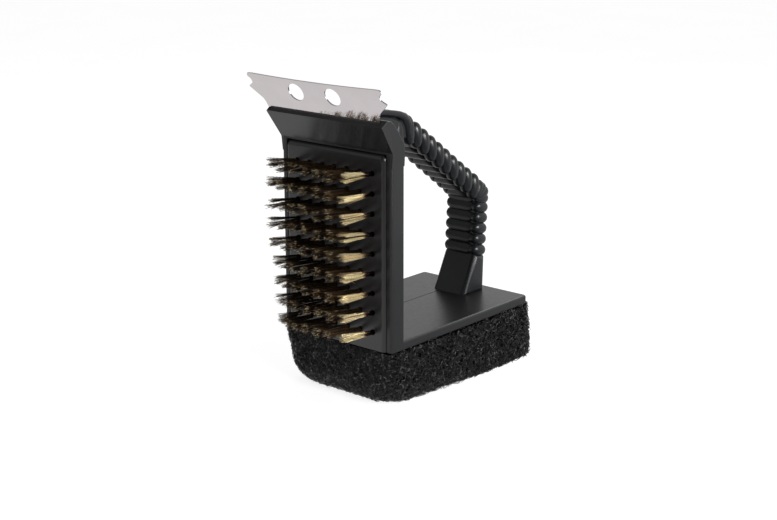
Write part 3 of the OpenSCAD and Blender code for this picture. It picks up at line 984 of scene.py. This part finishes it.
tri_t = np.stack([np.full(NP, it), idx[-1], nxt[-1]], -1)
me = mesh_from_arrays("pad_mat", V, [quads, np.concatenate([tri_b, tri_t])])
pad = add_object("pad_mat", me)
clean(pad, 1e-7)
finish_piece(pad, PAD, "pad_fibre", "scouring_pad")

# curled strands of the open fibre mat, laid in layers over every side and poking out of it
ZMAX = ZT - 0.16


def strands(name, pos, nrm, count, weight):
    """count curled fibres scattered over surface points pos with normals nrm."""
    pick = rng.choice(len(pos), count, p=weight / weight.sum())
    n = count
    K = 9
    up = nrm[pick]
    ta = np.cross(up, rng.normal(size=(n, 3)))
    ta /= np.linalg.norm(ta, axis=1, keepdims=True) + 1e-9
    tb = np.cross(up, ta)
    root = pos[pick] + ta * rng.uniform(-0.8, 0.8, (n, 1)) + tb * rng.uniform(-0.8, 0.8, (n, 1))
    t = np.linspace(0, 1, K)
    length = rng.uniform(3.5, 8.5, n)
    theta = (rng.normal(0, 2.2, n)[:, None] * t + rng.uniform(0.3, 1.1, n)[:, None]
             * np.sin(2 * math.pi * (t * rng.uniform(0.8, 1.8, n)[:, None] + rng.random(n)[:, None])))
    step = (length / (K - 1))[:, None]
    a = np.cumsum(np.cos(theta) * step, axis=1)
    b = np.cumsum(np.sin(theta) * step, axis=1)
    a -= a.mean(1, keepdims=True)
    b -= b.mean(1, keepdims=True)
    depth = rng.uniform(-1.8, 0.3, n)[:, None]
    h = depth + rng.uniform(0.15, 0.75, n)[:, None] * np.sin(2 * math.pi * (t * rng.uniform(0.5, 1.3, n)[:, None] + rng.random(n)[:, None]))
    P = root[:, None] + ta[:, None] * a[..., None] + tb[:, None] * b[..., None] + up[:, None] * h[..., None]
    clear = (np.abs(P[..., 0]) > HW + 0.2) | (P[..., 1] > BASE_D + 0.2)
    P[..., 2] = np.clip(P[..., 2], ZB + 0.14, np.where(clear, ZT + 0.7, ZMAX))
    rad = rng.uniform(0.12, 0.22, n)[:, None] * (1 - 0.35 * np.abs(2 * t - 1) ** 3)
    v, f = tubes(P, rad, 3, up + rng.normal(0, 0.2, (n, 3)))
    me = mesh_from_arrays(name, v, f)
    point_attribute(me, "tone_and_painted_light", np.repeat(rng.random(n), K * 3))
    ob = add_object(name, me)
    finish_piece(ob, FIBRE, "pad_fibre", "scouring_pad")


area_w = np.linalg.norm(np.cross(du, dv), axis=2).ravel()
Q = 1
for label, sel, count in (("front", fn[:, 1] < -0.6, 3600), ("rear", fn[:, 1] > 0.6, 3000),
                          ("right", (np.abs(fn[:, 1]) <= 0.6) & (flat[:, 0] > 0), 3900),
                          ("left", (np.abs(fn[:, 1]) <= 0.6) & (flat[:, 0] < 0), 3900)):
    mid_h = sel & (flat[:, 2] > ZB + 0.3)
    strands(f"pad_strands_{label}", flat[mid_h], fn[mid_h], count // Q, area_w[mid_h])
# resting face: two sheets of strands, pressed flat
inner = levels[0][0]
for part, (ya, yb) in enumerate(((0.0, BASE_D / 2), (BASE_D / 2, BASE_D + 8))):
    bx = rng.uniform(-HW, HW, 30000)
    by = rng.uniform(ya, yb, 30000)
    ang_in = np.interp(by, inner[inner[:, 0] > 0][:, 1][::-1], inner[inner[:, 0] > 0][:, 0][::-1], left=0, right=0)
    keep = np.abs(bx) < ang_in - 0.5
    pts = np.column_stack([bx[keep], by[keep], np.full(keep.sum(), ZB + 0.4)])
    strands(f"pad_strands_under_{part + 1}", pts, np.tile([0.0, 0.0, -1.0], (len(pts), 1)), 3600 // Q, np.ones(len(pts)))

# ---------------------------------------------------------------- stage
lo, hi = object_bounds()
floor_me = bpy.data.meshes.new("floor")
S = 6.0
floor_me.from_pydata([(-S, -S, 0), (S, -S, 0), (S, S, 0), (-S, S, 0)], [], [(0, 1, 2, 3)])
floor = bpy.data.objects.new("floor", floor_me)
scene.collection.objects.link(floor)
floor.location.z = lo.z - 0.00005
# pale table: white to the camera with a soft contact shadow; what the object itself sees of it is a painted glow,
# brightest behind and on a painted card patch at its front left, in place of a studio table and card
fm = bpy.data.materials.new("pale_floor")
fm.use_nodes = True
nt = fm.node_tree
nt.nodes.clear()
fout = nt.nodes.new("ShaderNodeOutputMaterial")
dif = node(nt, "ShaderNodeBsdfDiffuse")
nz = node(nt, "ShaderNodeTexNoise", Scale=8.0, Detail=3.0)
nt.links.new(coords(nt), nz.inputs["Vector"])
nt.links.new(ramp(nt, nz.outputs["Fac"], [(0.3, (0.30, 0.30, 0.30)), (0.7, (0.33, 0.33, 0.33))]), dif.inputs[0])
em_cam = node(nt, "ShaderNodeEmission", Strength=0.86)
addsh = nt.nodes.new("ShaderNodeAddShader")
nt.links.new(dif.outputs[0], addsh.inputs[0])
nt.links.new(em_cam.outputs[0], addsh.inputs[1])
painted_floor_glow = node(nt, "ShaderNodeEmission")
geo = node(nt, "ShaderNodeNewGeometry")


def painted_glow_blob(centre, radius, strength):
    d = node(nt, "ShaderNodeVectorMath", operation="DISTANCE")
    nt.links.new(geo.outputs["Position"], d.inputs[0])
    d.inputs[1].default_value = centre
    mr = node(nt, "ShaderNodeMapRange", interpolation_type="SMOOTHSTEP")
    mr.inputs["From Min"].default_value, mr.inputs["From Max"].default_value = radius, 0.4 * radius
    mr.inputs["To Min"].default_value, mr.inputs["To Max"].default_value = 0.0, strength
    nt.links.new(d.outputs["Value"], mr.inputs["Value"])
    return mr.outputs[0]


sepf = node(nt, "ShaderNodeSeparateXYZ")
nt.links.new(geo.outputs["Position"], sepf.inputs[0])


def soft_band(source, centre, half):
    off = node(nt, "ShaderNodeMath", operation="SUBTRACT")
    nt.links.new(source, off.inputs[0])
    off.inputs[1].default_value = centre
    ab = node(nt, "ShaderNodeMath", operation="ABSOLUTE")
    nt.links.new(off.outputs[0], ab.inputs[0])
    mr = node(nt, "ShaderNodeMapRange", interpolation_type="SMOOTHSTEP")
    mr.inputs["From Min"].default_value, mr.inputs["From Max"].default_value = half, half * 0.7
    nt.links.new(ab.outputs[0], mr.inputs["Value"])
    return mr.outputs[0]


def painted_card_glow(cx, hx, cy, hy, strength):
    mu = node(nt, "ShaderNodeMath", operation="MULTIPLY")
    nt.links.new(soft_band(sepf.outputs["X"], cx, hx), mu.inputs[0])
    nt.links.new(soft_band(sepf.outputs["Y"], cy, hy), mu.inputs[1])
    m2 = node(nt, "ShaderNodeMath", operation="MULTIPLY")
    nt.links.new(mu.outputs[0], m2.inputs[0])
    m2.inputs[1].default_value = strength
    return m2.outputs[0]


# painted glow that only the object sees: brighter towards the back, with a painted card patch and a glowing patch at
# the front left
painted_back_glow = node(nt, "ShaderNodeMapRange", interpolation_type="SMOOTHSTEP")
painted_back_glow.inputs["From Min"].default_value, painted_back_glow.inputs["From Max"].default_value = 0.0, 0.3
painted_back_glow.inputs["To Min"].default_value, painted_back_glow.inputs["To Max"].default_value = 0.14, 0.85
nt.links.new(sepf.outputs["Y"], painted_back_glow.inputs["Value"])
s1 = node(nt, "ShaderNodeMath", operation="ADD")
nt.links.new(painted_back_glow.outputs[0], s1.inputs[0])
nt.links.new(painted_card_glow(-0.172, 0.115, -0.125, 0.06, 0.05), s1.inputs[1])
s2 = node(nt, "ShaderNodeMath", operation="ADD")
nt.links.new(s1.outputs[0], s2.inputs[0])
nt.links.new(painted_glow_blob((-0.30, -0.32, 0), 0.70, 0.86), s2.inputs[1])
nt.links.new(s2.outputs[0], painted_floor_glow.inputs["Strength"])
flp = nt.nodes.new("ShaderNodeLightPath")
fmix = nt.nodes.new("ShaderNodeMixShader")
nt.links.new(flp.outputs["Is Camera Ray"], fmix.inputs[0])
nt.links.new(painted_floor_glow.outputs[0], fmix.inputs[1])
nt.links.new(addsh.outputs[0], fmix.inputs[2])
nt.links.new(fmix.outputs[0], fout.inputs[0])
floor_me.materials.append(fm)

world = bpy.data.worlds.new("studio")
scene.world = world
world.use_nodes = True
nt = world.node_tree
nt.nodes.clear()
out = nt.nodes.new("ShaderNodeOutputWorld")
lp = nt.nodes.new("ShaderNodeLightPath")
cam_bg = nt.nodes.new("ShaderNodeBackground")
cam_bg.inputs[0].default_value = (1, 1, 1, 1)
cam_bg.inputs[1].default_value = 1.0
env = nt.nodes.new("ShaderNodeBackground")
tc = nt.nodes.new("ShaderNodeTexCoord")


def facing(direction, lo_, hi_, a_, b_):
    """Strength that rises from a_ to b_ as a ray turns towards a direction."""
    dot = node(nt, "ShaderNodeVectorMath", operation="DOT_PRODUCT")
    nt.links.new(tc.outputs["Generated"], dot.inputs[0])
    dot.inputs[1].default_value = Vector(direction).normalized()
    mr = node(nt, "ShaderNodeMapRange", interpolation_type="SMOOTHSTEP")
    mr.inputs["From Min"].default_value, mr.inputs["From Max"].default_value = lo_, hi_
    mr.inputs["To Min"].default_value, mr.inputs["To Max"].default_value = a_, b_
    nt.links.new(dot.outputs["Value"], mr.inputs["Value"])
    return mr.outputs[0]


total = node(nt, "ShaderNodeMath", operation="ADD")
nt.links.new(facing((-0.1, 1, 0.05), 0.05, 0.75, 0.05, 0.9), total.inputs[0])
nt.links.new(facing((0.1, 0.45, 1), 0.6, 1.0, 0.0, 0.2), total.inputs[1])
both = node(nt, "ShaderNodeMath", operation="ADD")
nt.links.new(total.outputs[0], both.inputs[0])
nt.links.new(facing((-0.66, -0.64, 0.40), 0.86, 0.96, 0.0, 0.4), both.inputs[1])
nt.links.new(both.outputs[0], env.inputs[1])
env.inputs[0].default_value = (1, 1, 1, 1)
mix = nt.nodes.new("ShaderNodeMixShader")
nt.links.new(lp.outputs["Is Camera Ray"], mix.inputs[0])
nt.links.new(env.outputs[0], mix.inputs[1])
nt.links.new(cam_bg.outputs[0], mix.inputs[2])
nt.links.new(mix.outputs[0], out.inputs[0])


def area(name, loc, target, size, power, size_y=None):
    ld = bpy.data.lights.new(name, "AREA")
    ld.energy = power
    ld.shape = "RECTANGLE"
    ld.size = size
    ld.size_y = size_y or size
    ob = bpy.data.objects.new(name, ld)
    scene.collection.objects.link(ob)
    ob.location = loc
    ob.rotation_euler = (Vector(target) - Vector(loc)).to_track_quat("-Z", "Y").to_euler()
    return ob


MID = (0, 0, 0.09)
key = area("key_wires", (1.50, 0.68, 0.02), (0, -0.07, 0.092), 0.30, 95.0, 0.08)
wires = bpy.data.collections.new("wires_lit_from_the_side")
solid = bpy.data.collections.new("casts_shade_on_wires")
for ob in scene.objects:
    if ob.name.startswith("wires_end"):
        wires.objects.link(ob)
    if ob is not floor and ob.type == "MESH":
        solid.objects.link(ob)
key.light_linking.receiver_collection = wires
key.light_linking.blocker_collection = solid
every = bpy.data.collections.new("all_wires")
for ob in scene.objects:
    if ob.name.startswith("wires_"):
        every.objects.link(ob)
tips = area("fill_tips", (0.10, -0.95, 0.42), (0, -0.08, 0.09), 0.22, 1.05, 0.22)
tips.data.color = (1.0, 0.82, 0.68)
tips.light_linking.receiver_collection = every
edge = bpy.data.collections.new("grip_edges")
edge.objects.link(handle)
edge_soft = area("softbox_grip", (0.92, -0.34, 0.42), (0, 0, 0.095), 0.30, 3.4, 0.30)
edge_soft.light_linking.receiver_collection = edge
grip_key = area("key_grip", (0.92, 0.06, 0.36), (0, 0.02, 0.10), 0.26, 12.0, 0.26)
grip_only = bpy.data.collections.new("grip_lit_from_the_right")
grip_only.objects.link(handle)
grip_key.light_linking.receiver_collection = grip_only
soft = area("softbox_right", (0.92, -0.34, 0.50), (0, 0, 0.095), 0.42, 9.0, 0.42)
rest = bpy.data.collections.new("all_but_the_grip")
for ob in scene.objects:
    if ob.type == "MESH" and ob is not handle and not ob.name.startswith("pad_"):
        rest.objects.link(ob)
soft.light_linking.receiver_collection = rest
low = area("fill_low", (0.95, -0.30, 0.03), (0, 0, 0.06), 0.30, 4.5, 0.30)
shell_only = bpy.data.collections.new("body_only")
shell_only.objects.link(base)
low.light_linking.receiver_collection = shell_only
others = bpy.data.collections.new("all_but_the_handle")
for ob in scene.objects:
    if ob.type == "MESH" and ob is not handle:
        others.objects.link(ob)
key_soft = area("key_soft", (0.85, 0.42, 0.30), (0, 0, 0.095), 0.45, 2.3, 0.4)
key_soft.light_linking.receiver_collection = others
pad_key = area("key_pad", (0.62, -0.62, 0.75), (0, 0, 0.03), 0.10, 4.0, 0.10)
pads = bpy.data.collections.new("pad_glints")
for ob in scene.objects:
    if ob.name.startswith("pad_s"):
        pads.objects.link(ob)
pad_key.light_linking.receiver_collection = pads
rear_top = area("rear_top", (-0.1, 0.9, 0.7), MID, 0.5, 2.0)
rear_top.light_linking.receiver_collection = others

# camera from the fitted view: 40.8 degrees round, 15.5 degrees up
AZ, EL, ROLL = math.radians(40.7788), math.radians(15.5358), math.radians(-0.0835)
FPX, TXV, TYV, DIST = 1516.54, 29.925, 45.149, 859.68
bvec = np.array([math.sin(AZ) * math.cos(EL), -math.cos(AZ) * math.cos(EL), math.sin(EL)])
rvec = np.array([math.cos(AZ), math.sin(AZ), 0.0])
uvec = np.cross(bvec, rvec)
r2 = math.cos(ROLL) * rvec + math.sin(ROLL) * uvec
u2 = -math.sin(ROLL) * rvec + math.cos(ROLL) * uvec
pos = to_row([r2 * TXV + u2 * TYV + bvec * DIST])[0]
cam_data = bpy.data.cameras.new("cam")
cam_data.sensor_width = 36.0
cam_data.lens = FPX / 777 * 36.0
cam_data.clip_start, cam_data.clip_end = 0.05, 20
cam = bpy.data.objects.new("cam", cam_data)
scene.collection.objects.link(cam)
M = Matrix.Identity(4)
for r in range(3):
    M[r][0], M[r][1], M[r][2], M[r][3] = float(r2[r]), float(u2[r]), float(bvec[r]), float(pos[r])
cam.matrix_world = M
scene.camera = cam
scene.view_settings.view_transform = "Standard"
scene.view_settings.look = "None"
